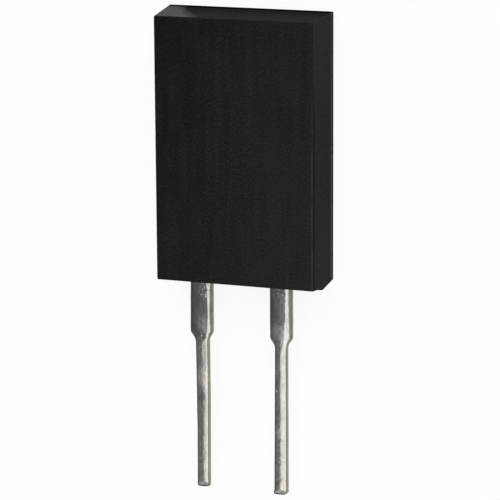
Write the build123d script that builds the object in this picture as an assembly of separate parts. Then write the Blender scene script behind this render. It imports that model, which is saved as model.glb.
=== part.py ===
from build123d import *
import os
from math import atan2, radians, tan

# A two-lead current sense resistor in a flat moulded package without a mounting hole.
# A printed resistor film on an alumina plate is soldered to two stamped leads, and a block of
# black epoxy is moulded round them all. Only the plate's back and the leads come out of the block.
#
# Frame, in millimetres: the origin is on the mounting face (the plate's bare back), under the
# middle of the block. +X is to the right when the front is seen with the leads down, +Y runs
# up the block away from the leads, and +Z comes out of the front.

# ---- driving dimensions ----
# moulded block
body_width = 10.41  # across the back, where the block is widest
body_height = 16.03  # front face, from its top edge to its edge over the leads
body_thickness = 3.18  # mounting face to front face
side_draft = 4.0  # degrees, on both long sides
top_draft = 5.0  # degrees, on the end away from the leads
nose_front = 0.25  # the lead-exit end stands out this far past the front face's edge
nose_back = 0.3  # and this far past the back's edge
flare_height = 0.75  # the front half of that end flares out over this height to the parting line
flare_angle = 13.0  # degrees, from upright
front_radius = 0.06  # round the front face
corner_radius = 0.08  # down the four corners
back_radius = 0.05  # round the back

# alumina plate
plate_thickness = 1.0
plate_proud = 0.05  # the plate's back stands this far out of the block's back
plate_side_margin = 0.6  # block to plate, at each long side of the back
plate_top_margin = 0.62
plate_lead_margin = 2.15  # wide enough for the leads to be held by the block alone

# printed layers on the plate
print_margin = 0.3  # bare plate left round everything that is printed
bar_width = 0.9  # conductor along each long side
conductor_thickness = 0.02
film_thickness = 0.03
film_overlap = 0.25  # film over the edge of each conductor
film_setback = 0.45  # film to the solder pads
trim_width = 0.08  # laser cut that sets the resistance
trim_offset = 1.1  # cut's start, to the right of the middle
trim_plunge = 3.4  # up from the film's lower edge
trim_return = 1.9  # then towards the left conductor
glaze_thickness = 0.04  # over the film
glaze_overlap = 0.22  # past the film's edges

# leads
lead_pitch = 5.08
lead_thickness = 0.5
lead_height = 1.9  # mounting face to the middle of the lead's thickness
lead_length = 12.91  # from the block to the tip
lead_edge = 0.07  # rounding of the stamped and tinned edges outside the block
shoulder_width = 1.38
shoulder_length = 3.12  # wide part outside the block
shoulder_corner = 0.12  # rounding of the shoulder's outer corner
taper_length = 0.5
taper_root = 0.45  # radius where the taper runs into the narrow shank
shank_width = 0.75
notch_radius = 0.2  # half-round bites that key each lead into the block
notch_inset = 0.85  # from the block's edge in to the middle of the bites
joggle_run = 0.7  # length of the slope down to the pad
joggle_radius = 0.12  # inside radius of both bends
paddle_width = 1.75
paddle_length = 1.75
paddle_corner = 0.2

# solder
solder_gap = 0.06  # solder between the pad and the paddle
solder_toe = 0.28  # solder past the paddle's edge, on the pad
solder_lip = 0.04  # solder past the paddle's edge, at its top
solder_rise = 0.6  # how far solder climbs the paddle's edge, as a share of its thickness
pad_margin = 0.12  # pad left bare round the solder

# ---- sizes that follow ----
# lead plane and the block's parting line, which runs along the leads' lower faces
lead_low = lead_height - lead_thickness / 2
front_depth = body_thickness - plate_proud

# ends of the block along Y, with its back centred on the origin
back_height = body_height + front_depth * tan(radians(top_draft)) + nose_front - nose_back
back_top = back_height / 2
back_foot = -back_height / 2
exit_y = back_foot - nose_back
front_foot = exit_y + nose_front
front_top = front_foot + body_height
flare_y = exit_y + flare_height * tan(radians(flare_angle))

# plate
plate_width = body_width - 2 * plate_side_margin
plate_top = back_top - plate_top_margin
plate_foot = back_foot + plate_lead_margin

# levels of what is stacked on the plate
pad_level = plate_thickness + conductor_thickness
film_level = pad_level + film_thickness
glaze_level = film_level + glaze_thickness
paddle_low = pad_level + solder_gap

# leads, from the tip to the paddle's end
tip_y = exit_y - lead_length
shoulder_y = exit_y - shoulder_length
taper_y = shoulder_y - taper_length
notch_y = exit_y + notch_inset
pad_foot = plate_foot + print_margin
paddle_y = pad_foot + pad_margin + solder_toe
bend_y = paddle_y - joggle_run
paddle_end = paddle_y + paddle_length
joggle_drop = lead_low - paddle_low

# pads and film
bar_outer = plate_width / 2 - print_margin
bar_inner = bar_outer - bar_width
pad_half = paddle_width / 2 + solder_toe + pad_margin
pad_inner = lead_pitch / 2 - pad_half
pad_outer = max(bar_outer, lead_pitch / 2 + pad_half)
pad_top = paddle_end + solder_toe + pad_margin
print_top = plate_top - print_margin
film_half = bar_inner + film_overlap
film_foot = pad_top + film_setback
film_top = print_top - glaze_overlap


def block(x0, x1, y0, y1, z0, z1):
    """A box between two values on each axis."""
    low = (min(x0, x1), y0, z0)
    size = (abs(x1 - x0), y1 - y0, z1 - z0)
    return Pos(*low) * Box(*size, align=(Align.MIN, Align.MIN, Align.MIN))


def mirrored(shape):
    """The same piece on the other side of the middle plane."""
    return mirror(shape, about=Plane.YZ)


def moulding_blank():
    """The epoxy block before its contents are taken out: two crossed profiles, then rounding."""
    side_profile = Polygon(
        (back_foot, plate_proud),
        (exit_y, lead_low),
        (flare_y, lead_low + flare_height),
        (front_foot, body_thickness),
        (front_top, body_thickness),
        (back_top, plate_proud),
        align=None,
    )
    lean = front_depth * tan(radians(side_draft))
    half = body_width / 2
    end_profile = Polygon(
        (-half, plate_proud),
        (half, plate_proud),
        (half - lean, body_thickness),
        (lean - half, body_thickness),
        align=None,
    )
    along_x = extrude(Plane.YZ * side_profile, body_width / 2, both=True)
    along_y = extrude(Plane.XZ * end_profile, back_height, both=True)
    blank = along_x & along_y

    corners = blank.edges().filter_by(lambda e: abs(e.tangent_at(0.5).Z) > 0.9)
    blank = fillet(corners, corner_radius)
    blank = fillet(blank.faces().sort_by(Axis.Z)[-1].edges(), front_radius)
    return fillet(blank.faces().sort_by(Axis.Z)[0].edges(), back_radius)


def ceramic_plate():
    """The alumina plate that carries the film and is bare at the back."""
    half = plate_width / 2
    return block(-half, half, plate_foot, plate_top, 0, plate_thickness)


def conductor():
    """The right-hand printed conductor: a bar beside the film, with its solder pad."""
    bar = block(bar_inner, bar_outer, pad_foot, print_top, plate_thickness, pad_level)
    pad = block(pad_inner, pad_outer, pad_foot, pad_top, plate_thickness, pad_level)
    return bar + pad


def film(conductors):
    """The resistor film, with the laser's cut in it."""
    sheet = block(-film_half, film_half, film_foot, film_top, plate_thickness, film_level)
    plunge_top = film_foot + trim_plunge
    plunge = block(
        trim_offset, trim_offset + trim_width, film_foot, plunge_top, plate_thickness, film_level
    )
    turn = block(
        trim_offset - trim_return,
        trim_offset + trim_width,
        plunge_top - trim_width,
        plunge_top,
        plate_thickness,
        film_level,
    )
    return sheet - plunge - turn - conductors


def glaze(film_and_conductors):
    """The glass coat that seals the film and fills its cut."""
    half = film_half + glaze_overlap
    coat = block(
        -half,
        half,
        film_foot - glaze_overlap,
        film_top + glaze_overlap,
        plate_thickness,
        glaze_level,
    )
    return coat - film_and_conductors


def lead_outline():
    """The lead's stamped outline, seen from the front and centred on its own axis."""
    middle_low = (Align.CENTER, Align.MIN)
    shank = Pos(0, tip_y) * Rectangle(shank_width, exit_y - tip_y, align=middle_low)
    wide = Pos(0, shoulder_y) * Rectangle(shoulder_width, paddle_y - shoulder_y, align=middle_low)
    taper = Polygon(
        (-shank_width / 2, taper_y),
        (shank_width / 2, taper_y),
        (shoulder_width / 2, shoulder_y),
        (-shoulder_width / 2, shoulder_y),
        align=None,
    )
    outline = shank + taper + wide
    outline = fillet(corners_at(outline, shoulder_y), shoulder_corner)
    outline = fillet(corners_at(outline, taper_y), taper_root)

    paddle = Pos(0, paddle_y) * Rectangle(paddle_width, paddle_length, align=middle_low)
    paddle = fillet(paddle.vertices(), paddle_corner)
    bites = [Pos(x, notch_y) * Circle(notch_radius) for x in (-shoulder_width / 2, shoulder_width / 2)]
    return outline + paddle - bites


def corners_at(outline, y):
    """The outline's corners at one distance along the lead."""
    return outline.vertices().filter_by(lambda corner: abs(corner.Y - y) < 0.001)


def lead_side():
    """The lead's section along its length: straight, then bent down to lie over its pad."""
    angle = atan2(joggle_drop, joggle_run)
    shift = lead_thickness * tan(angle / 2)
    lead_top = lead_low + lead_thickness
    paddle_top = paddle_low + lead_thickness
    inside_bends = ((bend_y, lead_low), (paddle_y + shift, paddle_top))
    outside_bends = ((bend_y + shift, lead_top), (paddle_y, paddle_low))
    section = Polygon(
        (tip_y, lead_low),
        inside_bends[0],
        outside_bends[1],
        (paddle_end, paddle_low),
        (paddle_end, paddle_top),
        inside_bends[1],
        outside_bends[0],
        (tip_y, lead_top),
        align=None,
    )
    section = fillet(corners_near(section, inside_bends), joggle_radius)
    return fillet(corners_near(section, outside_bends), joggle_radius + lead_thickness)


def corners_near(section, points):
    """The section's corners that lie on the given points."""
    return section.vertices().filter_by(
        lambda corner: any(abs(corner.X - x) + abs(corner.Y - y) < 0.001 for x, y in points)
    )


def lead():
    """The right-hand lead: its outline and its side section crossed, then its edges rounded."""
    plan = extrude(lead_outline(), body_thickness)
    side = extrude(Plane.YZ * lead_side(), body_width / 2, both=True)
    blank = plan & side
    outside = blank.edges().filter_by(lambda edge: edge.center().Y < exit_y)
    rolled = outside.filter_by(lambda edge: abs(edge.tangent_at(0.5).Z) < 0.1)
    return Pos(lead_pitch / 2, 0, 0) * fillet(rolled, lead_edge)


def solder_joint(right_lead):
    """Solder under the right-hand lead's paddle and climbing its edges."""
    middle = paddle_y + paddle_length / 2
    climb = solder_gap + solder_rise * lead_thickness
    sections = [
        Pos(lead_pitch / 2, middle, level)
        * RectangleRounded(
            paddle_width + 2 * spread, paddle_length + 2 * spread, paddle_corner + spread
        )
        for level, spread in ((pad_level, solder_toe), (pad_level + climb, solder_lip))
    ]
    return loft(sections) - right_lead


def build():
    """Every piece by its name, each cut to seat on the ones before it."""
    plate = ceramic_plate()
    right_conductor = conductor()
    left_conductor = mirrored(right_conductor)
    conductors = [left_conductor, right_conductor]
    resistor_film = film(conductors)
    protective_glaze = glaze([resistor_film, *conductors])
    right_lead = lead()
    left_lead = mirrored(right_lead)
    right_solder = solder_joint(right_lead)
    left_solder = mirrored(right_solder)
    contents = {
        "ceramic_substrate": plate,
        "left_conductor": left_conductor,
        "right_conductor": right_conductor,
        "resistor_film": resistor_film,
        "protective_glaze": protective_glaze,
        "left_lead": left_lead,
        "right_lead": right_lead,
        "left_solder_joint": left_solder,
        "right_solder_joint": right_solder,
    }
    return {"moulded_body": moulding_blank() - list(contents.values()), **contents}


os.makedirs("parts", exist_ok=True)
for name, piece in build().items():
    export_step(piece, f"parts/{name}.step")
    print(f"{name}: {piece.volume:.3f} mm3")
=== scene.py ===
# %% [markdown]
# # A current sense resistor, dressed in Blender
#
# The part is a flat block of black epoxy with two tinned leads at one end and a bare ceramic
# plate at its back. The block and the plate come from the CAD frame with their true shapes, so
# they only need good materials. The leads are modelled again here, because dipped tin is never
# flat: its skin is crowned, wavy and a little different on each lead.
#
# Blender works in metres. `MM` turns the millimetres of a drawing into them, and most numbers
# below are in millimetres.

# %% Load the frame
import bmesh
import bpy
import math
from collections import namedtuple
from mathutils import Matrix, Vector


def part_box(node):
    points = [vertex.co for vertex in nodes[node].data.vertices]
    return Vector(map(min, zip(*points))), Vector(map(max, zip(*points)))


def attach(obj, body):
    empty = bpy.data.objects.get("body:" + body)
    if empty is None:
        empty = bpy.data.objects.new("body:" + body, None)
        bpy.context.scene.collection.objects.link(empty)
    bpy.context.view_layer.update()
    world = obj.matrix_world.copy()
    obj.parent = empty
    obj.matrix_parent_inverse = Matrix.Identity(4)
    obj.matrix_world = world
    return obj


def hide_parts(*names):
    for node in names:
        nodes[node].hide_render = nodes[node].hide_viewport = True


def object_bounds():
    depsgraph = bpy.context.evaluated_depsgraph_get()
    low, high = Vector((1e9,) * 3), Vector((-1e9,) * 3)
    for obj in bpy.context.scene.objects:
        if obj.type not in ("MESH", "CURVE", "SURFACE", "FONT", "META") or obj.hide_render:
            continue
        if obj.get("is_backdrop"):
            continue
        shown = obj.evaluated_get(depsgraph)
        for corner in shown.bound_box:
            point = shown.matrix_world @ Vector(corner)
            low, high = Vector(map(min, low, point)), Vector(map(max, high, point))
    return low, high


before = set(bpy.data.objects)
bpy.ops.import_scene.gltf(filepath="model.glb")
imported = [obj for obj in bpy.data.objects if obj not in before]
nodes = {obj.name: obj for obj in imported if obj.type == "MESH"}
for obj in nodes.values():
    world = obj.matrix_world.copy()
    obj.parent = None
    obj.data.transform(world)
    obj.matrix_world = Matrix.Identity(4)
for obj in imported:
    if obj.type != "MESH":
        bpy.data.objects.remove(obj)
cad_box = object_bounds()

MM = 0.001
print("CAD nodes:", ", ".join(sorted(nodes)))

# %% [markdown]
# ## Places that everything else is measured from
#
# The frame tells where each CAD piece is. The block's box gives the end where the leads leave
# it, the plate's box gives its rim, and each lead's box gives its middle line, its two ends, its
# top and its bottom. Typing them again would work until the part changes size, so they are read.

# %% Measures read from the frame
body_low, body_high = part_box("moulded_body")
plate_low, plate_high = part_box("ceramic_substrate")
lead_boxes = {side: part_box(f"{side}_lead") for side in ("left", "right")}
exit_y = body_low.y / MM
block = (body_high - body_low) / MM
print(f"block {block.x:.2f} x {block.y:.2f} x {block.z:.2f} mm, leads leave at y = {exit_y:.2f}")

# %% Where the leads are, in millimetres
LeadPlace = namedtuple("LeadPlace", "middle tip end bottom top")
lead_places = {}
for side, box in lead_boxes.items():
    low, high = (corner / MM for corner in box)
    at = LeadPlace((low.x + high.x) / 2, low.y, high.y, low.z, high.z)
    lead_places[side] = at
    print(f"{side} lead: middle {at.middle:.2f}, from y = {at.tip:.2f} to {at.end:.2f} mm")

# %% [markdown]
# ## The camera
#
# A long lens from far away keeps the block's sides almost parallel, as a small part is usually
# shown. The part lies on its back, so the camera looks steeply down on it, a little from its
# right and from its top end. A Track To constraint could aim it, but three turns about known
# axes say the same in one line and add nothing to the scene.

# %% Camera
AIM = Vector((0.969, -5.953, 3.063)) * MM
TURN, TILT = 20.176, 12.817  # degrees: to the part's right and to its top
ROLL = 0.322  # degrees about the lens
DISTANCE = 160.19 * MM
LENS, SENSOR = 193.6, 36.0
NEAREST = 0.01


def turned(angle, axis):
    return Matrix.Rotation(math.radians(angle), 3, axis)


camera_data = bpy.data.cameras.new("camera")
camera_data.lens = LENS
camera_data.sensor_width = SENSOR
camera_data.clip_start = NEAREST
camera = bpy.data.objects.new("camera", camera_data)
camera_turn = turned(TURN, "Y") @ turned(-TILT, "X") @ turned(-ROLL, "Z")
camera_place = AIM + camera_turn.col[2] * DISTANCE
camera.matrix_world = Matrix.Translation(camera_place) @ camera_turn.to_4x4()
bpy.context.scene.collection.objects.link(camera)
bpy.context.scene.camera = camera
bpy.context.scene.view_settings.view_transform = "Standard"
print(f"camera {DISTANCE / MM:.0f} mm from what it looks at, with a {LENS} mm lens")

# %% [markdown]
# ## Shader sums that read like sums
#
# A finish is mostly arithmetic on a place: how far from an edge, how high, how noisy. Wiring
# each sum by hand hides it, so this small class wraps a node's output and lets Python's own
# operators add the Math nodes. Its one method `node` makes every other kind of node.

# %% A wire between shader nodes
class Wire:
    """A value in a shader: sums and products of wires add Math nodes to their tree."""

    def __init__(self, tree, socket=None):
        self.tree, self.socket = tree, socket

    def node(self, kind, settings=None, inputs=None, output=0):
        made = self.tree.nodes.new("ShaderNode" + kind)
        for name, value in (settings or {}).items():
            setattr(made, name, value)
        for name, value in (inputs or {}).items():
            if isinstance(value, Wire):
                self.tree.links.new(value.socket, made.inputs[name])
            else:
                made.inputs[name].default_value = value
        return Wire(self.tree, made.outputs[output]) if len(made.outputs) else made

    def math(self, operation, first, second=0.0):
        return self.node("Math", {"operation": operation}, {0: first, 1: second})

    def __add__(self, other):
        return self.math("ADD", self, other)

    def __sub__(self, other):
        return self.math("SUBTRACT", self, other)

    def __rsub__(self, other):
        return self.math("SUBTRACT", other, self)

    def __mul__(self, other):
        return self.math("MULTIPLY", self, other)

    def __abs__(self):
        return self.math("ABSOLUTE", self)

    __radd__ = __add__
    __rmul__ = __mul__

    def larger(self, other):
        return self.math("MAXIMUM", self, other)

    def smaller(self, other):
        return self.math("MINIMUM", self, other)

    def sine(self):
        return self.math("SINE", self)

    def rise(self, start, end):
        """0 before start, 1 past end, and a soft step between; start may be above end."""
        settings = {"interpolation_type": "SMOOTHSTEP"}
        return self.node("MapRange", settings, {"Value": self, "From Min": start, "From Max": end})

    def band(self, start, full, fading, end):
        """1 from full to fading and 0 outside start and end, with soft steps between."""
        return self.rise(start, full) * self.rise(end, fading)

    def mix(self, first, second):
        """A colour that goes from first to second as this wire goes from 0 to 1."""
        colours = {6: colour(first), 7: colour(second)}
        return self.node("Mix", {"data_type": "RGBA"}, {0: self, **colours}, 2)


def colour(value):
    """A grey number or an RGB triple as a colour with alpha; a wire stays as it is."""
    if isinstance(value, Wire):
        return value
    if isinstance(value, (int, float)):
        value = (value, value, value)
    return (*value, 1.0)


# %% [markdown]
# ## What every finish starts from
#
# Each finish is a function of the place on the part and of the way the surface faces there.
# Object coordinates give the place, in the part's own axes, so a pattern stays where it is when
# the part is moved. Unwrapping would give places too, but in no unit one can measure with.

# %% Places and directions in a shader
def new_finish(name):
    """An empty material and a bare wire in its tree."""
    material = bpy.data.materials.new(name)
    material.use_nodes = True
    material.node_tree.nodes.clear()
    return material, Wire(material.node_tree)


def place_in_mm(wire):
    """Object coordinates in millimetres."""
    metres = wire.node("TexCoord", output="Object")
    return wire.node("VectorMath", {"operation": "SCALE"}, {0: metres, "Scale": 1 / MM})


def axes(vector):
    """A vector's three numbers."""
    split = vector.node("SeparateXYZ", inputs={0: vector}).socket.node
    return tuple(Wire(vector.tree, output) for output in split.outputs)


def outward(wire):
    """Which way the surface faces, as three numbers along the part's axes."""
    return axes(wire.node("TexCoord", output="Normal"))


# %% [markdown]
# ## Light
#
# Glossy tin shows its surroundings more than its own colour, so the light is a small studio of
# four soft panels: the key panel over the part and to its right, one behind its top end, a dim
# one low at its right, and another dim one before the lead tips. The key panel's left edge is
# what draws the bright stripe down each lead. Spot lamps would be simpler, but they leave tin
# black with a few hard points.

# %% Studio
PANELS = {  # centre, then width and height, in metres, then strength
    "key panel": ((0.175, 0.12, 0.66), (0.74, 1.2), 1.5),
    "back panel": ((-0.10, 0.56, 0.46), (1.4, 0.6), 1.6),
    "side panel": ((0.64, -0.15, 0.32), (0.62, 0.9), 0.33),
    "tip panel": ((-0.24, -0.44, 0.50), (0.7, 0.36), 0.55),
}


def soft_panel(name, centre, size, strength):
    """A white rectangular lamp that faces the part."""
    data = bpy.data.lights.new(name, "AREA")
    data.shape = "RECTANGLE"
    data.size, data.size_y = size
    data.energy = strength * math.pi * size[0] * size[1]
    lamp = bpy.data.objects.new(name, data)
    bpy.context.scene.collection.objects.link(lamp)
    away = Vector(centre).normalized()
    across = Vector((0, 1, 0)).cross(away).normalized()
    facing = Matrix((across, away.cross(across), away)).transposed()
    lamp.matrix_world = Matrix.Translation(centre) @ facing.to_4x4()
    print(f"{name}: {size[0]:.2f} x {size[1]:.2f} m at {centre}")


for name, panel in PANELS.items():
    soft_panel(name, *panel)

# %% [markdown]
# ## The room
#
# Between the panels the tin mirrors the room. A dim grey one keeps the flats of the leads grey
# and lets the stripe stand out. It is a little paler overhead, as a room is, so a flat that
# tips even slightly changes its tone.

# %% Room
ROOM_LOW, ROOM_HIGH = 0.06, 0.12
world = bpy.data.worlds.new("room")
world.use_nodes = True
world.node_tree.nodes.clear()
bpy.context.scene.world = world
room = Wire(world.node_tree)
height = axes(room.node("TexCoord", output="Generated"))[2]
shade = height.rise(0.0, 0.95).mix(ROOM_LOW, ROOM_HIGH)
room.node("OutputWorld", inputs={"Surface": room.node("Background", inputs={"Color": shade})})
print(f"room grey {ROOM_LOW} at the horizon, {ROOM_HIGH} overhead")

# %% [markdown]
# ## The floor
#
# The part lies on a sheet of white card that is lit so strongly that it fades to pure white.
# More lamps would bleach the part as well. Instead the card glows for the rays that come from
# the camera or from a reflection, and is a plain white card for all others, so it lights the
# part as paper does. It glows a little less than full, which leaves room for the soft shadow.

# %% Floor
FLOOR_SIZE, FLOOR_WHITE, FLOOR_GLOW = 1.6, 0.95, 0.9


def floor_finish():
    material, wire = new_finish("floor white")
    rays = wire.node("LightPath").socket.node.outputs
    camera_ray, glossy_ray, through_ray = (
        Wire(wire.tree, rays[f"Is {kind} Ray"]) for kind in ("Camera", "Glossy", "Transmission"))
    share = camera_ray.larger(glossy_ray).larger(through_ray) * FLOOR_GLOW
    card = wire.node("BsdfDiffuse", inputs={"Color": colour(FLOOR_WHITE)})
    glow = wire.node("Emission", inputs={"Color": colour(1.0), "Strength": 1.0})
    blend = wire.node("MixShader", inputs={0: share, 1: card, 2: glow})
    wire.node("OutputMaterial", inputs={"Surface": blend})
    return material


bpy.ops.mesh.primitive_plane_add(size=FLOOR_SIZE, location=(0, 0, 0))
floor = bpy.context.active_object
floor.name = "floor"
floor.data.materials.append(floor_finish())
floor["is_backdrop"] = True
print(f"floor: {FLOOR_SIZE} m square")

# %% [markdown]
# ## Grain and relief
#
# Real materials differ from plain colours mostly in their grain. Noise at two or three sizes
# does for specks, clouds and ripples, and the same noise used as relief lets the light play on
# them. The relief is only bump: at a few thousandths of a millimetre, real dents would need
# millions of faces and look no different.

# %% Noise, relief and the finished surface
def stretched(place, x, y, z):
    """The same place with each direction scaled, for grain that runs one way."""
    return place.node("VectorMath", {"operation": "MULTIPLY"}, {0: place, 1: (x, y, z)})


def noise(place, scale, detail=2.0, roughness=0.5):
    """Soft noise from 0 to 1, with about `scale` lumps in a millimetre."""
    inputs = {"Vector": place, "Scale": scale, "Detail": detail, "Roughness": roughness}
    return place.node("TexNoise", inputs=inputs)


def bump(height, depth_mm):
    """A surface direction that follows a height of 0 to 1, depth_mm deep."""
    inputs = {"Height": height, "Distance": depth_mm * MM, "Strength": 1.0}
    return height.node("Bump", inputs=inputs, output="Normal")


def surface(wire, inputs):
    """The finished surface: a Principled shader joined to the material's output."""
    shader = wire.node("BsdfPrincipled", inputs=inputs)
    wire.node("OutputMaterial", inputs={"Surface": shader})


def dress(node, material):
    """Gives a CAD node one material all over."""
    mesh = nodes[node].data
    mesh.materials.clear()
    mesh.materials.append(material)
    print(f"{node}: {material.name}, {len(material.node_tree.nodes)} shader nodes")


# %% [markdown]
# ## The epoxy block
#
# Moulding epoxy is black, filled with fine silica, and dull where the mould was eroded. The
# shape is the CAD node's own. What a plain black lacks is laid on in the material: satin
# streaks up the front and silica grain, which are its own, and painted light and shade: a
# gradient across the front, a sheen on the long sides, highlights and shade lines along some
# edges, a highlight at the left corner of the top end and shade along its back. Each of these
# is a mask from 0 to 1. An image texture could hold them too, but it would need unwrapping and
# would blur up close, while masks from places and directions stay sharp at any distance.

# %% Epoxy tones
# how much light each feature throws back, as a share of 1, added to the resin's own black
RESIN, GRAIN = 0.0059, 0.052
# painted light and shade across the front, and its real satin streaks and clouds
PAINTED_LIGHT_RIGHT, FRONT_STREAKS, FRONT_CLOUD = 0.0046, 0.010, 0.006
PAINTED_SHADE_TOP, PAINTED_LIGHT_FOOT = 0.0025, 0.001
# painted sheen on the long sides, stronger towards their ends
PAINTED_SIDE_SHEEN, PAINTED_SIDE_ENDS_SHEEN = 0.0178, 0.003
# painted highlight along the long sides' rim beside the back
PAINTED_RIM_HIGHLIGHT, PAINTED_RIM_HIGHLIGHT_LOWER = 0.044, 0.018
# painted highlight down the front's right edge
PAINTED_EDGE_HIGHLIGHT = 0.021
# painted highlight on the left corner of the top end
PAINTED_GLINT, PAINTED_GLINT_GRAIN = 0.062, 0.1
# painted shade on the whole top end, and painted shade fading towards its back edge
TOP_PAINTED_SHADE, TOP_PAINTED_FADE = 0.0046, 0.5
# how far each painted shade takes the light away
SHADOW, PAINTED_BACK_SHADOW, PAINTED_EDGE_SHADE, AWAY = 0.9, 0.8, 0.4, 0.6
EPOXY_TINT = (0.99, 1.0, 0.88)
print(f"resin reflects {RESIN:.1%} of the light, its rubbed corner {RESIN + PAINTED_GLINT:.1%}")


# %% Painted highlights and shade along the block's edges
def edge_marks(place, facing, side):
    """Masks of four painted lines: a highlight and a shade line down the front's right edge, a
    highlight along the side's rim and a shadow under it.
    """
    x, y, z = axes(place)
    nx, _, nz = facing
    # a painted highlight down the front's right edge, strongest near the leads, and a painted
    # shade line beside it
    ragged = noise(stretched(place, 0.0, 0.5, 0.0), 1.0, 2.0).rise(0.3, 0.6)
    painted_edge_highlight = nz.rise(0.6, 0.8) * x.band(4.85, 4.89, 4.94, 4.98) * ragged * y.rise(5.5, -1.5)
    painted_edge_shade = x.band(4.94, 4.97, 5.0, 5.04) * y.rise(5.0, 1.5) * z.rise(2.9, 3.0)
    # a painted highlight along the long side beside the back, and a painted shadow behind it
    back = z + y * 0.005
    rim = side * back.band(0.27, 0.32, 0.41, 0.48)
    painted_back_shadow = nx.rise(0.3, 0.6) * back.rise(0.31, 0.25)
    return painted_edge_highlight, painted_edge_shade, rim, painted_back_shadow


# %% Epoxy
def epoxy_finish():
    material, wire = new_finish("moulding epoxy")
    place = place_in_mm(wire)
    x, y, z = axes(place)
    facing = outward(wire)
    nx, ny, nz = facing
    front = nz.rise(0.85, 0.95)
    side = nx.rise(0.7, 0.95).larger((nx * ny).rise(0.1, 0.4))
    top = ny.rise(0.85, 0.95)
    grain = noise(stretched(place, 1.0, 0.7, 1.0), 11.0, 4.0, 0.75) - 0.5
    streaks = noise(stretched(place, 1.0, 0.07, 1.0), 2.6, 4.0, 0.6) - 0.5
    cloud = noise(place, 0.3, 2.0) - 0.5

    # painted light and shade: the front is a touch paler to the right and towards the leads and
    # darker towards the top end, laid over its real satin streaks and clouds
    front_streaks_and_painted_light = front * (
        x.rise(-5.5, 5.5) * PAINTED_LIGHT_RIGHT + streaks * FRONT_STREAKS + cloud * FRONT_CLOUD
        - y.rise(1.0, 8.0) * PAINTED_SHADE_TOP + y.rise(0.0, -8.0) * PAINTED_LIGHT_FOOT)
    painted_edge_highlight, painted_edge_shade, rim, painted_back_shadow = edge_marks(place, facing, side)
    # painted light and shade on the top end: a painted highlight at its left corner, a painted
    # shadow along its back edge, and painted shade that fades towards that edge
    painted_glint = top * (x - z * 0.67 + streaks * 1.2).rise(-4.05, -5.15)
    shadow = top * z.rise(0.66, 0.4)
    kept = 1.0 - top * z.rise(2.8, 0.3) * (1.0 - painted_glint) * TOP_PAINTED_FADE
    # the roundings that face left and down lie in the dark
    turned_away = (nx * -1.0).larger(ny * -1.0).band(0.1, 0.4, 0.85, 0.98)
    dark = (shadow * SHADOW).larger(painted_back_shadow * PAINTED_BACK_SHADOW).larger(painted_edge_shade * PAINTED_EDGE_SHADE)
    lit = 1.0 - dark.larger(turned_away * AWAY)

    pale = front_streaks_and_painted_light + painted_edge_highlight * PAINTED_EDGE_HIGHLIGHT + grain * GRAIN
    # the long sides get a painted sheen, stronger towards their ends
    pale = pale + side * (abs(y).rise(2.0, 7.0) * PAINTED_SIDE_ENDS_SHEEN + PAINTED_SIDE_SHEEN)
    # the rim along the back of the sides gets a painted highlight
    pale = pale + rim * (y.rise(7.0, 4.0) * PAINTED_RIM_HIGHLIGHT_LOWER + PAINTED_RIM_HIGHLIGHT)
    # the top end's left corner gets a painted highlight
    pale = pale + painted_glint * (grain * PAINTED_GLINT_GRAIN + PAINTED_GLINT)
    # the top end is darkened all over as painted shade
    tone = (pale + RESIN - top * TOP_PAINTED_SHADE) * lit * kept
    surface(wire, {
        "Base Color": tone.larger(0.001).mix(0.0, EPOXY_TINT),
        "Roughness": grain * 0.15 + streaks * 0.1 + 0.52,
        "Specular IOR Level": 0.0,
        "Coat Weight": (nz.rise(0.15, 0.6) * 0.22 + top * 0.13 + 0.03) * lit * kept,
        "Coat Roughness": 0.45,
        "Normal": bump(grain + streaks * 0.6, 0.004),
    })
    return material


dress("moulded_body", epoxy_finish())

# %% [markdown]
# ## The ceramic plate
#
# Fired alumina is an off-white, faintly speckled ceramic. Plates are snapped from a scribed
# sheet, so their long edges show a row of fine laser pits, and a thin grey bleed of resin
# creeps over the rim while the block is moulded. The pits are too fine to model, and one sine
# along the edge repeats them for the price of a few nodes.

# %% Alumina
PIT_RATE = 21.0  # radians in a millimetre: one pit every 0.3 mm
half_width, half_length = (plate_high - plate_low).xy / 2 / MM
plate_middle = (plate_high.y + plate_low.y) / 2 / MM


def alumina_finish():
    material, wire = new_finish("fired alumina")
    place = place_in_mm(wire)
    x, y, _ = axes(place)
    from_side = half_width - abs(x)
    rim = from_side.smaller(half_length - abs(y - plate_middle))
    specks = noise(place, 7.0, 2.0).rise(0.66, 0.74)
    bleed = (rim + (noise(place, 2.2, 3.0) - 0.5) * 0.5).rise(0.22, 0.04)
    pits = (y * PIT_RATE).sine().rise(0.2, 0.9) * from_side.rise(0.1, 0.03)
    white = noise(place, 0.5, 3.0).mix((0.74, 0.72, 0.66), (0.80, 0.785, 0.74))
    flecked = (specks * 0.5).mix(white, (0.45, 0.42, 0.37))
    stained = (bleed * 0.8 + pits * 0.3).smaller(0.9).mix(flecked, (0.2, 0.19, 0.17))
    surface(wire, {
        "Base Color": stained,
        "Roughness": bleed * -0.15 + 0.62,
        "Normal": bump(noise(place, 11.0, 3.0) - pits * 0.8, 0.006),
    })
    return material


dress("ceramic_substrate", alumina_finish())

# %% [markdown]
# ## What is sealed inside
#
# Nobody sees the printed layers and the solder until the block is cut open, but the part may be
# shown in section, so each layer gets a finish of its own.
#
# The pads are fired silver-palladium paste, which is duller and more mottled than solid metal.
# A grey paint would pass from afar, but it would stay the same from every side. So they are a
# metal whose colour and roughness follow the same noise.

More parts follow.
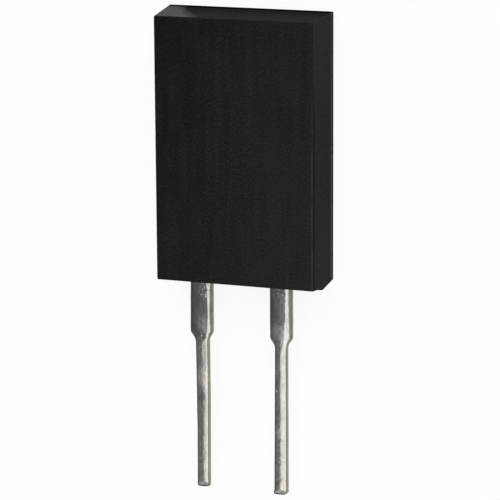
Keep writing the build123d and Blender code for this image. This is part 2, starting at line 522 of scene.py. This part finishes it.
# %% Printed pads
def conductor_finish():
    material, wire = new_finish("fired conductor print")
    place = place_in_mm(wire)
    mottle = noise(place, 6.0, 3.0)
    surface(wire, {
        "Base Color": mottle.mix((0.52, 0.50, 0.46), (0.68, 0.66, 0.61)),
        "Metallic": 1.0,
        "Roughness": mottle * 0.2 + 0.38,
        "Normal": bump(noise(place, 14.0, 3.0), 0.004),
    })
    return material


print_metal = conductor_finish()
for side in lead_places:
    dress(f"{side}_conductor", print_metal)

# %% [markdown]
# ## The resistor film
#
# The film is a black paste pushed through a woven screen, and the screen's wires leave a faint
# raster in it. Two crossed sines draw that grid as relief. A picture of a grid would do as well,
# but it would need unwrapping, and the sines need none.

# %% Resistor film
SCREEN_RATE = 42.0  # radians in a millimetre: the screen's wires lie 0.15 mm apart


def film_finish():
    material, wire = new_finish("resistor print")
    place = place_in_mm(wire)
    x, y, _ = axes(place)
    screen = (x * SCREEN_RATE).sine() * (y * SCREEN_RATE).sine()
    surface(wire, {
        "Base Color": noise(place, 9.0, 2.0).mix(0.022, 0.045),
        "Roughness": noise(place, 3.0) * 0.2 + 0.6,
        "Normal": bump(screen * 0.5 + noise(place, 12.0), 0.003),
    })
    return material


dress("resistor_film", film_finish())

# %% [markdown]
# ## The glaze
#
# A green glass covers the film. It is smooth but never flat, so it has a low roughness, a clear
# coat and long soft waves. Real glass would let light through to a film that is black anyway,
# and an opaque green looks the same and renders faster.

# %% Green glaze
def glaze_finish():
    material, wire = new_finish("green overglaze")
    place = place_in_mm(wire)
    surface(wire, {
        "Base Color": noise(place, 1.2, 2.0).mix((0.02, 0.075, 0.05), (0.035, 0.11, 0.075)),
        "Roughness": noise(place, 5.0) * 0.1 + 0.12,
        "Coat Weight": 0.4,
        "Normal": bump(noise(place, 1.6, 2.0), 0.01),
    })
    return material


dress("protective_glaze", glaze_finish())

# %% [markdown]
# ## The solder
#
# Lead-free solder freezes with a frosted grain. Colour, roughness and relief all come from the
# same crystals, so one noise drives the three of them. Separate noises would look like dirt on
# a smooth metal.

# %% Solder
def solder_finish():
    material, wire = new_finish("lead-free solder")
    frost = noise(place_in_mm(wire), 10.0, 4.0, 0.7)
    surface(wire, {
        "Base Color": frost.mix((0.50, 0.49, 0.47), (0.66, 0.65, 0.63)),
        "Metallic": 1.0,
        "Roughness": frost * 0.3 + 0.2,
        "Normal": bump(frost, 0.008),
    })
    return material


solder = solder_finish()
for side in lead_places:
    dress(f"{side}_solder_joint", solder)

# %% [markdown]
# ## Modelling by hand, in code
#
# The leads are drawn out of a small disc, face by face, the way one would with the E, G and S
# keys. An operator works on everything that is selected, so the helpers below first clear the
# selection and then pick by place. `pull` is E followed by G, `widen` is S, `move` is G alone,
# and `lean_end` is R with its pivot given, because without a window the pivot setting is
# ignored.

# %% Selecting
def deselect():
    """In object mode, clears the selection."""
    bpy.ops.object.select_all(action="DESELECT")


def switch(mode):
    """To edit mode and back, as the Tab key does."""
    bpy.ops.object.mode_set(mode=mode)


def near(a, b, reach=0.02):
    return abs(a - b) < reach


def pick(test):
    """In edit mode, selects the points whose place in millimetres passes the test."""
    bpy.ops.mesh.select_all(action="DESELECT")
    mesh = bmesh.from_edit_mesh(bpy.context.edit_object.data)
    for point in mesh.verts:
        point.select_set(test(*(point.co / MM)))
    mesh.select_flush_mode()
    bmesh.update_edit_mesh(bpy.context.edit_object.data)


# %% Pulling, widening, moving, leaning
def pull(y, z=0.0, x=0.0):
    """Draws the selected end out by these millimetres."""
    step = Vector((x, y, z)) * MM
    bpy.ops.mesh.extrude_region_move(TRANSFORM_OT_translate={"value": step})


def widen(middle, x=1.0, z=1.0):
    """Scales what is selected across the lead and through it, about a point."""
    centre = Vector(middle) * MM
    bpy.ops.transform.resize(value=(x, 1.0, z), center_override=centre)


def move(x=0.0, y=0.0, z=0.0, **settings):
    """Moves what is selected by these millimetres."""
    bpy.ops.transform.translate(value=Vector((x, y, z)) * MM, **settings)


def lean_end(about, angle):
    """Tips the selected end over, its top away from the tip, for a mitre."""
    bpy.ops.transform.rotate(value=angle, orient_axis="X", center_override=Vector(about) * MM)


# %% [markdown]
# ## The dipped leads
#
# Each lead is stamped from strip: a wide shoulder, a short taper with hollow corners and a
# narrow shank. Dipping in molten tin rounds it, because the metal draws back from the edges and
# stands highest along the middle. A bevelled box would have the outline but not the skin. So
# the section is a ring of sixteen points that the Subdivision Surface turns into a soft crowned
# bar, and every station along the lead is one more pull of its end. The last pulls follow the
# sealed part: the keyed neck, the step down to the plate and the soldered paddle.

# %% Lead sizes, in millimetres
SHANK, SHOULDER = 0.75, 1.38  # widths
SHOULDER_LENGTH, TAPER = 3.12, 0.5
THICKNESS = 0.5
SPARE = 0.07  # drawn past the tip, so that the cuts there have something to take away
INNER, CORNER = 0.45, 0.9  # where the section's points stand, as shares of half its width
NECK, NECK_INSET, NECK_REACH = 0.94, 0.85, 0.2
BEND_Y, PADDLE_Y, PADDLE_WIDTH = -5.977, -5.277, 1.75
shoulder_y = exit_y - SHOULDER_LENGTH
taper_y = shoulder_y - TAPER
print(f"shoulder from y = {shoulder_y:.2f}, shank from {taper_y:.2f} mm down")

# %% [markdown]
# ## Stations along a lead
#
# No two dipped leads are alike: one bows a little, the other leans, and the tin swells where it
# ran together. A bend modifier would treat both the same way, so each station carries its own
# width and sideways shift, and smooth curves give them: half a sine for a bow, a square for a
# lean.

# %% How each lead differs from its drawing, in millimetres
UNEVEN = {
    "left": {
        "bow": 0.024, "lean": 0.002,  # sideways, at the shank's middle and at its tip
        "tip_swell": -0.006, "root_swell": 0.036,  # extra width at the shank's two ends
        "aside": -0.032, "swell": 0.032,  # the shoulder's shift and its extra width
    },
    "right": {
        "bow": -0.008, "lean": -0.036,
        "tip_swell": 0.055, "root_swell": -0.012,
        "aside": 0.004, "swell": 0.0,
    },
}
SHANK_PULLS, WIDE_PULLS = 16, 5
TIP_ROOM, TAPER_ROOM = 0.12, 0.3  # the shank's stations keep this far from its ends


# %% Stations of the shank
def shank_stations(side):
    """Up to where, how wide and how far sideways each pull of the shank goes."""
    uneven, first = UNEVEN[side], lead_places[side].tip + TIP_ROOM
    last = taper_y - TAPER_ROOM
    shank = []
    for i in range(SHANK_PULLS + 1):
        share = i / SHANK_PULLS
        rooted = min(1, max(0, 3.5 * share - 1.4))  # the root's swelling starts 40% of the way up
        width = SHANK + uneven["tip_swell"] * (1 - share) + uneven["root_swell"] * rooted
        sideways = uneven["bow"] * math.sin(math.pi * share) + uneven["lean"] * (1 - share) ** 2
        shank.append((first + (last - first) * share, width, sideways))
    return shank


# %% Stations of the taper, the shoulder and the neck
WIDE_START = 0.14  # where the shoulder has its full width


def shoulder_stations(side):
    """The same for the rest of the lead, up to the step inside the block."""
    uneven = UNEVEN[side]
    aside, swell = uneven["aside"], uneven["swell"]
    root, full = SHANK + uneven["root_swell"], SHOULDER + uneven["swell"]
    stations = [
        (taper_y - 0.06, root + 0.01, aside * 0.2),
        (taper_y + 0.14, root + 0.09, aside * 0.4),
        (shoulder_y - 0.1, full - 0.12, aside),
        (shoulder_y + 0.02, full - 0.005, aside),
        (shoulder_y + WIDE_START, full, aside),
    ]
    for i in range(1, WIDE_PULLS + 1):
        y = shoulder_y + WIDE_START + (SHOULDER_LENGTH - WIDE_START) * i / WIDE_PULLS
        stations.append((y, SHOULDER + swell * (1 - i / 6), aside * (1 - i / 8)))
    bites, bitten = exit_y + NECK_INSET, (SHOULDER + NECK) / 2 - 0.1
    return stations + [
        (bites - NECK_REACH - 0.05, SHOULDER, 0.0),
        (bites - NECK_REACH / 2, bitten, 0.0),
        (bites + NECK_REACH / 2, bitten, 0.0),
        (bites + NECK_REACH + 0.05, SHOULDER, 0.0),
    ]


def stations(side):
    """Every station of a lead; the first holds the tip square."""
    shank = shank_stations(side)
    _, width, sideways = shank[0]
    return [(lead_places[side].tip + 0.03, width, sideways), *shank, *shoulder_stations(side)]


for side in lead_places:
    print(f"{side} lead: {len(stations(side))} stations")

# %% [markdown]
# ## The section
#
# Everything starts from a disc of sixteen corners that stands at the tip. Rows of its points
# are scaled out and up until the disc is a flat bar with round edges, and then the middle of
# the top is lifted to make the crown. The points could be typed in as a list, but scaling rows
# is what one does by hand, and it keeps the section symmetrical.

# %% Section
EDGE_HEIGHT = 0.85  # how high the outermost points stand, as a share of half the thickness
ROWS = (  # degrees round the disc, then share of half the width and of half the thickness
    (22.5, 1.0, EDGE_HEIGHT),
    (45.0, CORNER, 1.0),
    (67.5, INNER, 1.0),
)
INNER_CROWN = 0.75  # how much of the crown the points beside the middle get
CLOSE = 0.01


def start_section(side, name, crown):
    """A disc at the lead's tip, shaped into the bar's section and left in edit mode."""
    middle, top = lead_places[side].middle, lead_places[side].top
    level = top - THICKNESS / 2
    centre = (middle, lead_places[side].tip - SPARE, level)
    deselect()
    bpy.ops.mesh.primitive_circle_add(
        vertices=16, radius=MM, fill_type="NGON",
        location=Vector(centre) * MM, rotation=(math.pi / 2, 0, 0))
    lead = bpy.context.active_object
    lead.name = lead.data.name = name
    bpy.ops.object.transform_apply(location=True, rotation=True, scale=True)
    switch("EDIT")

    # the round disc becomes the bar's section: squarer corners, flatter faces, then a crown
    for degrees, share, height in ROWS:
        was = math.radians(degrees)
        pick(lambda x, y, z: near(abs(x - middle), math.cos(was), CLOSE))
        widen(centre, share / math.cos(was), height / math.sin(was))
    bpy.ops.mesh.select_all(action="SELECT")
    widen(centre, SHANK / 2, THICKNESS / 2)
    for share, lift in ((0.0, crown), (INNER, INNER_CROWN * crown)):
        pick(lambda x, y, z: near(abs(x - middle), share * SHANK / 2, CLOSE) and z > level)
        move(z=lift)
    bpy.ops.mesh.select_all(action="SELECT")
    return lead


# %% [markdown]
# ## Pulling the section along
#
# With the whole section selected, each pull leaves a ring behind and takes the end along. The
# width is always scaled about the lead's own middle line, so a swelling grows to both sides.
# Inside the block the bar steps down to the plate in two mitred bends: half the bend before the
# slope and half after it, so that the slope keeps the strip's thickness.

# %% Outer lead
def draw_outer(side):
    """Pulls the selected section up to the block and into it; tells where it ended."""
    at = lead_places[side]
    here, width, sideways = at.tip - SPARE, SHANK, 0.0
    for y, new_width, new_sideways in stations(side):
        pull(y - here, x=new_sideways - sideways)
        widen((at.middle + new_sideways, 0, at.top - THICKNESS / 2), new_width / width)
        here, width, sideways = y, new_width, new_sideways
    return here


# %% Inner lead
PADDLE_STEPS = (0.35, 0.61, 0.04)  # shares of the paddle; the short last one keeps its end square


def draw_inner(side, here):
    """Steps the end down to the plate in two mitred bends and draws out the paddle."""
    middle, _, end, bottom, top = lead_places[side]
    level, drop, run = top - THICKNESS / 2, top - bottom - THICKNESS, PADDLE_Y - BEND_Y
    lean = math.atan2(drop, run) / 2
    shift = THICKNESS * math.tan(lean) / 2
    pull(BEND_Y + shift - here)
    lean_end((middle, BEND_Y + shift, level), lean)
    pull(run, -drop)
    widen((middle, 0, level), PADDLE_WIDTH / SHOULDER)
    pull(3 * shift)
    paddle_start = PADDLE_Y + 4 * shift
    lean_end((middle, paddle_start, level - drop), -lean)
    for share in PADDLE_STEPS:
        pull((end - paddle_start) * share)


# %% [markdown]
# ## How the tin lies on each lead
#
# What one sees of dipped tin is mostly where its skin tips past a few degrees: from there on it
# mirrors the key panel and turns bright. So the width of the bright stripe is set by where the
# section's points stand, and that differs along each lead. On the wide part the tin has drawn
# back to the left, which leaves a low right edge; on the shank it stands in a ridge that falls
# straight to the right. A normal map could fake the stripe, but only for one light.

# %% The tin's shape on each lead, in millimetres
PAST_TIP = -30.0
SKINS = {
    "left": {
        "crown": 0.032, "ridge": 0.0,  # height of the crown, and what the shank's middle adds
        # where the skin falls to the right along the shank: from, to, and how far
        "slopes": ((-12.0, -13.9, -0.011), (-13.9, -15.1, -0.007), (-15.1, PAST_TIP, -0.002)),
        # on the wide part, the stripe's right border as a share of half the width, its left
        # border as steps of (down to where, share), and how high the side's top edge stands
        "right_border": 0.74,
        "left_borders": ((-9.35, 0.38), (-11.3, 0.57), (PAST_TIP, 0.40)),
        "side_top": 0.086,
        "crown_stops": 5.0,  # how suddenly the crown ends at the taper; 0 lets it fade
    },
    "right": {
        "crown": 0.036, "ridge": 0.007,
        "slopes": ((-12.0, PAST_TIP, -0.01),),
        "right_border": 0.61,
        "left_borders": (
            (-9.3, 0.45), (-9.9, 0.36), (-10.5, 0.43), (-11.1, 0.2), (-11.5, 0.08),
            (PAST_TIP, 0.14)),
        "side_top": 0.06,
        "crown_stops": 0.0,
    },
}
for side, skin in SKINS.items():
    print(f"{side} lead: crown {skin['crown']} mm, stripe up to {skin['right_border']:.0%}")


# %% Tin on the wide part
UPPER = 0.1  # only points this far above the middle level belong to the top of the section
FLATTENED, INNER_FLATTENED = 0.85, 0.7  # how much of the crown the wide part loses
MIDDLE_GAP = 0.14  # how far the middle points keep from the stripe, as a share of half the width


def draw_back(side):
    """Lets the tin draw back from the wide part's right edge."""
    skin, (middle, _, _, _, top) = SKINS[side], lead_places[side]
    upper_z, crown = top - THICKNESS / 2 + UPPER, skin["crown"]
    for y, width, aside in stations(side):
        if not taper_y - 0.1 < y < exit_y + 0.2:
            continue
        half = width / 2
        inner = next(share for place, share in skin["left_borders"] if y > place)
        # 0 on the shank, 1 on the wide part
        flared = min(1.0, max(0.0, (width - SHANK - 0.03) / (SHOULDER - SHANK - 0.15)))
        flat = max(flared, min(1.0, (y - taper_y + 0.06) * skin["crown_stops"]))
        sideways = half * flared
        for column, x, z in (
            (1.0, 0.0, (skin["side_top"] - EDGE_HEIGHT * THICKNESS / 2) * flared),
            (CORNER, (skin["right_border"] - CORNER) * sideways, 0.0),
            (INNER, (inner - INNER) * sideways, -INNER_FLATTENED * crown * flat),
            (0.0, min(0.0, inner - MIDDLE_GAP) * sideways, -FLATTENED * crown * flat),
            (-INNER, 0.0, -INNER_FLATTENED * crown * flat),
        ):
            at = middle + aside + column * half
            pick(lambda px, py, pz: near(py, y) and near(px, at) and pz > upper_z)
            move(x, 0, z)


# %% Tin on the shank
def raise_ridge(side):
    """Makes the shank highest along its middle and lets it fall straight to its right edge."""
    skin, (middle, _, _, _, top) = SKINS[side], lead_places[side]
    upper_z, root = top - THICKNESS / 2 + UPPER, taper_y - 0.1
    columns = [(middle, root, PAST_TIP, skin["ridge"])]
    for start, end, slope in skin["slopes"]:
        columns.append((middle + INNER * SHANK / 2, min(root, start), end, slope))
    for at, start, end, lift in columns:
        pick(lambda px, py, pz: near(px, at, 0.05) and end < py < start and pz > upper_z)
        move(z=lift)


# %% [markdown]
# ## Smooth skin with a soft ripple
#
# Three levels of subdivision turn the ring of sixteen into a smooth skin. Freezing tin never
# leaves it perfect, so two soft clouds push it about: one as long as the lead is wide, one as
# fine as a grain of sand. Each modifier is applied at once, because the cuts that follow need
# the real faces.

# %% Smoothing and rippling
SMOOTH_LEVELS = 3
RIPPLES = ((1.3, 0.02), (0.28, 0.006))  # size of the lumps and depth, in millimetres


def refine(piece, kind, **settings):
    """Adds one modifier and applies it at once."""
    modifier = piece.modifiers.new(kind.title(), kind)
    for name, value in settings.items():
        setattr(modifier, name, value)
    bpy.ops.object.modifier_apply(modifier=modifier.name)


def clouds(name, size):
    """A soft procedural texture for Displace, with lumps of about this size."""
    texture = bpy.data.textures.new(name, "CLOUDS")
    texture.noise_scale = size * MM
    texture.noise_depth = 1
    return texture


def smooth_skin(lead):
    """Turns a drawn lead's faces outward, smooths it and ripples it; leaves it in object mode."""
    bpy.ops.mesh.select_all(action="SELECT")
    bpy.ops.mesh.normals_make_consistent(inside=False)
    switch("OBJECT")
    refine(lead, "SUBSURF", levels=SMOOTH_LEVELS, render_levels=SMOOTH_LEVELS)
    for size, depth in RIPPLES:
        texture = clouds(f"{lead.name} ripple {size}", size)
        refine(lead, "DISPLACE", texture=texture, strength=depth * MM, mid_level=0.5,
               texture_coords="LOCAL")


# %% [markdown]
# ## The sheared tips
#
# The leads are cut from their strip after dipping, so the tips are plain sheared metal: a
# sloped facet on top, a nearly square end and a narrow lip between the two, which is painted
# dark as shade. Rounding hides this if it is left to the subdivision, so the tips are cut last,
# with the bisect operator, which also closes each cut. Their rims are marked sharp, so they
# stay crisp.

# %% Cuts
TIP_CUTS = {  # for each cut, a point from the middle of the tip's top edge, and where it faces
    "left": (
        ((0, 0.28, 0.025), (0.08, -0.28, 0.96)),
        ((0.3, 0.0, 0), (0.25, -0.97, 0.0)),
        ((0, 0.085, -0.04), (0.0, -0.8, 0.6)),
    ),
    "right": (
        ((0, 0.30, 0.03), (0.05, -0.27, 0.96)),
        ((0.24, 0.01, 0), (0.5, -0.87, 0.0)),
        ((0, 0.07, -0.04), (0.0, -0.82, 0.57)),
    ),
}
PUSHED_IN = (-0.05, -0.02, 0.0)  # what the shear did to the right tip's left corner
PUSH_REACH = 0.25


def slice_off(point, facing):
    """Cuts away what lies past a plane, closes the cut and keeps its rim crisp."""
    bpy.ops.mesh.select_all(action="SELECT")
    bpy.ops.mesh.bisect(
        plane_co=point * MM, plane_no=facing,
        use_fill=True, clear_outer=True, threshold=1e-4 * MM)
    bpy.ops.mesh.mark_sharp()


def shear_tip(side):
    """Makes the cuts at a lead's tip and, on the right, pushes its corner over."""
    middle, tip, _, _, top = lead_places[side]
    switch("EDIT")
    for offset, facing in TIP_CUTS[side]:
        slice_off(Vector((middle, tip, top)) + Vector(offset), Vector(facing))
    if side == "right":
        pick(lambda x, y, z: x < middle - 0.3 and y < tip + 0.06 and z > top - 0.3)
        move(*PUSHED_IN, use_proportional_edit=True, proportional_edit_falloff="SMOOTH",
             proportional_size=PUSH_REACH * MM)
    switch("OBJECT")


# %% [markdown]
# ## The two leads
#
# The steps now run in the order of the workshop: the strip is drawn, the tin is laid on it, it
# freezes, and the tip is sheared. The right lead could be a mirrored copy of the left one, but
# two leads that were dipped by hand never match, so both are made from their own numbers.

# %% The two leads
def make_lead(side):
    """One finished lead as a mesh, in object mode."""
    lead = start_section(side, f"{side}_dipped_lead", SKINS[side]["crown"])
    draw_inner(side, draw_outer(side))
    draw_back(side)
    raise_ridge(side)
    smooth_skin(lead)
    shear_tip(side)
    print(f"{lead.name}: {len(lead.data.polygons)} faces")
    return lead


leads = {side: make_lead(side) for side in lead_places}

# %% [markdown]
# ## Marks on the tin
#
# Flux leaves a few tan and bluish stains, gas leaves pits and beads that catch the light as
# specks, and where the bath cooled slowly the tin is frosted. Each is a ragged soft spot round
# a point: the distance to the point, roughened with noise. Painting them on a texture would
# look the same, but could not follow a change of size.

# %% Spots
def spot(place, x, y, reach):
    """A ragged soft spot round a point in millimetres, 1 at its middle and 0 past its reach."""
    ragged = noise(place, 5.0, 3.0, 0.6)
    ends = {0: stretched(place, 1.0, 1.0, 0.0), 1: (x, y, 0.0)}
    away = place.node("VectorMath", {"operation": "DISTANCE"}, ends, "Value")
    return (away + (ragged - 0.5) * reach).rise(reach, reach * 0.35)


def patches(place, spots):
    """One mask for several spots."""
    mask = spot(place, *spots[0])
    for each in spots[1:]:
        mask = mask.larger(spot(place, *each))
    return mask


# %% Where the marks are
STAINS = {  # x, y and reach in millimetres, then the colour
    "left": (
        (-2.30, -8.50, 0.35, (0.62, 0.60, 0.52)),
        (-2.45, -14.45, 0.45, (0.60, 0.56, 0.49)),
        (-2.60, -15.65, 0.40, (0.30, 0.31, 0.34)),
    ),
    "right": (
        (2.64, -8.57, 0.30, (0.34, 0.27, 0.25)),
        (2.93, -8.30, 0.22, (0.72, 0.66, 0.46)),
        (2.38, -16.25, 0.28, (0.46, 0.48, 0.34)),
        (2.36, -20.62, 0.24, (0.40, 0.36, 0.26)),
        (2.55, -20.90, 0.36, (0.78, 0.70, 0.66)),
        (2.72, -20.60, 0.22, (0.62, 0.58, 0.44)),
    ),
}
PITS = {
    "left": ((-2.40, -8.98, 0.42), (-2.57, -11.68, 0.14), (-2.24, -8.50, 0.3)),
    "right": ((2.27, -13.64, 0.13), (2.27, -14.74, 0.13), (2.60, -8.55, 0.35)),
}
FROSTS = {
    "left": ((-2.26, -11.0, 0.8), (-2.5, -14.3, 0.8)),
    "right": ((2.52, -11.2, 0.8), (2.6, -17.5, 0.5)),
}
for side in lead_places:
    print(f"{side}: {len(STAINS[side])} stains, {len(PITS[side])} pitted spots")

# %% [markdown]
# ## Tin
#
# Dipped tin is bright where it is thick and brownish where it has drawn thin over the copper.
# Across each flat a painted reflection tone makes it darker at one edge and palest beside the
# stripe. The sheared sides are duller than the flats and darkened further as painted shade, and
# the cut ends are bare metal. One metal with its colour and roughness changed by masks does for
# all of it. The lip at the tip is the exception: any metal turns bright when seen edge on, so
# the lip is a dull dark solid, painted as shade.

# %% Tones of the tin
TIN_THIN, TIN_THICK = (0.42, 0.413, 0.385), (0.54, 0.538, 0.52)
# the sheared sides: duller metal, darkened further as painted shade
SIDE_THIN, SIDE_THICK = (0.235, 0.223, 0.171), (0.312, 0.299, 0.240)
# the bare cut end, and the lip painted dark as shade
CUT_END, PAINTED_SHADE_LIP = (0.2, 0.17, 0.145), (0.07, 0.066, 0.06)
STAIN_STRENGTH = 0.5


def painted_reflection_tone(across, shank):
    """How pale a flat is from side to side, as a painted reflection: darker at its left edge,
    palest beside the stripe.
    """
    on_wide = across.rise(-0.5, 0.25) * 0.28 - across.rise(0.25, 0.36) * 0.18 + 0.83
    on_shank = across.rise(-0.36, -0.2) * 0.36 - across.rise(-0.12, 0.0) * 0.28 + 0.94
    return on_wide + (on_shank - on_wide) * shank


def stained(metal, place, side):
    """Lays a lead's stains over its colour."""
    for x, y, reach, tint in STAINS[side]:
        metal = (spot(place, x, y, reach) * STAIN_STRENGTH).mix(metal, tint)
    return metal


# %% Tin
def tin_finish(side):
    material, wire = new_finish(f"dipped tin {side}")
    place = place_in_mm(wire)
    x, y, _ = axes(place)
    nx, ny, nz = outward(wire)
    half_taper = taper_y + TAPER / 2
    shank = y.rise(half_taper + 0.4, half_taper - 0.4)
    grain = noise(place, 11.0, 4.0, 0.65)
    ripples = noise(stretched(place, 1.0, 0.45, 1.0), 3.4, 4.0, 0.6)
    mottle = noise(stretched(place, 1.0, 0.5, 1.0), 3.0, 4.0, 0.65)

    # the flats, whose colour is scaled by a painted reflection tone across each flat and by the
    # frost
    frost = patches(place, FROSTS[side]) * (noise(place, 5.0, 3.0, 0.7) * 1.2)
    painted_reflection_and_frost = painted_reflection_tone(x - lead_places[side].middle, shank) * (frost * 0.3 + 1.0)
    skin = mottle.rise(0.3, 0.7).mix(TIN_THIN, TIN_THICK)
    skin = painted_reflection_and_frost.node("VectorMath", {"operation": "SCALE"}, {0: skin, "Scale": painted_reflection_and_frost})

    # then the sheared sides, duller and partly darkened as painted shade, the cut end, the lip
    # painted dark as shade, and the stains over all
    sheared = abs(nx).rise(0.6, 0.85)
    metal = sheared.mix(skin, (mottle.rise(0.35, 0.65) - shank * 0.6).mix(SIDE_THIN, SIDE_THICK))
    metal = ny.rise(-0.45, -0.7).mix(metal, CUT_END)
    painted_shade_lip = ny.rise(-0.6, -0.7) * nz.rise(0.3, 0.5)
    metal = stained(painted_shade_lip.mix(metal, PAINTED_SHADE_LIP), place, side)

    # the relief: ripples, fine grain, and beads in the pitted spots
    beads = noise(place, 11.0, 1.0).rise(0.56, 0.68) * patches(place, PITS[side])
    height = ripples * (shank * 0.7 + 0.5) + grain * 0.4 + beads * 2.2
    surface(wire, {
        "Base Color": metal,
        "Metallic": 1.0 - painted_shade_lip,
        "Specular IOR Level": 0.0,
        "Roughness": sheared * 0.12 + shank * 0.05 + grain * 0.1 + frost * 0.1 + 0.13,
        "Normal": bump(height, 0.008),
    })
    return material


# %% [markdown]
# ## Handing the leads over
#
# Each lead takes the place of its CAD piece and follows the same body. Before that it is shaded
# smooth up to an angle, because fully smooth shading would smear the cuts at the tip, and flat
# shading would show every little face.

# %% Finish the leads
SMOOTH_ANGLE = math.radians(50)  # the cuts' rims stay sharp, all else is shaded smooth
for side, lead in leads.items():
    lead.data.materials.append(tin_finish(side))
    deselect()
    lead.select_set(True)
    bpy.context.view_layer.objects.active = lead
    bpy.ops.object.shade_smooth_by_angle(angle=SMOOTH_ANGLE)
    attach(lead, "root")
    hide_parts(f"{side}_lead")
    print(f"{lead.name} replaces {side}_lead")

# %% [markdown]
# ## Sizes, and done
#
# The dressed part's size is printed beside the CAD part's. The dressed part has to stay
# as big as the CAD part.

# %% Sizes and finish
boxes = {"cad": cad_box, "visual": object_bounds()}
for name, box in boxes.items():
    print(f"{name}: {[round((high - low) / MM, 2) for low, high in zip(*box)]} mm")
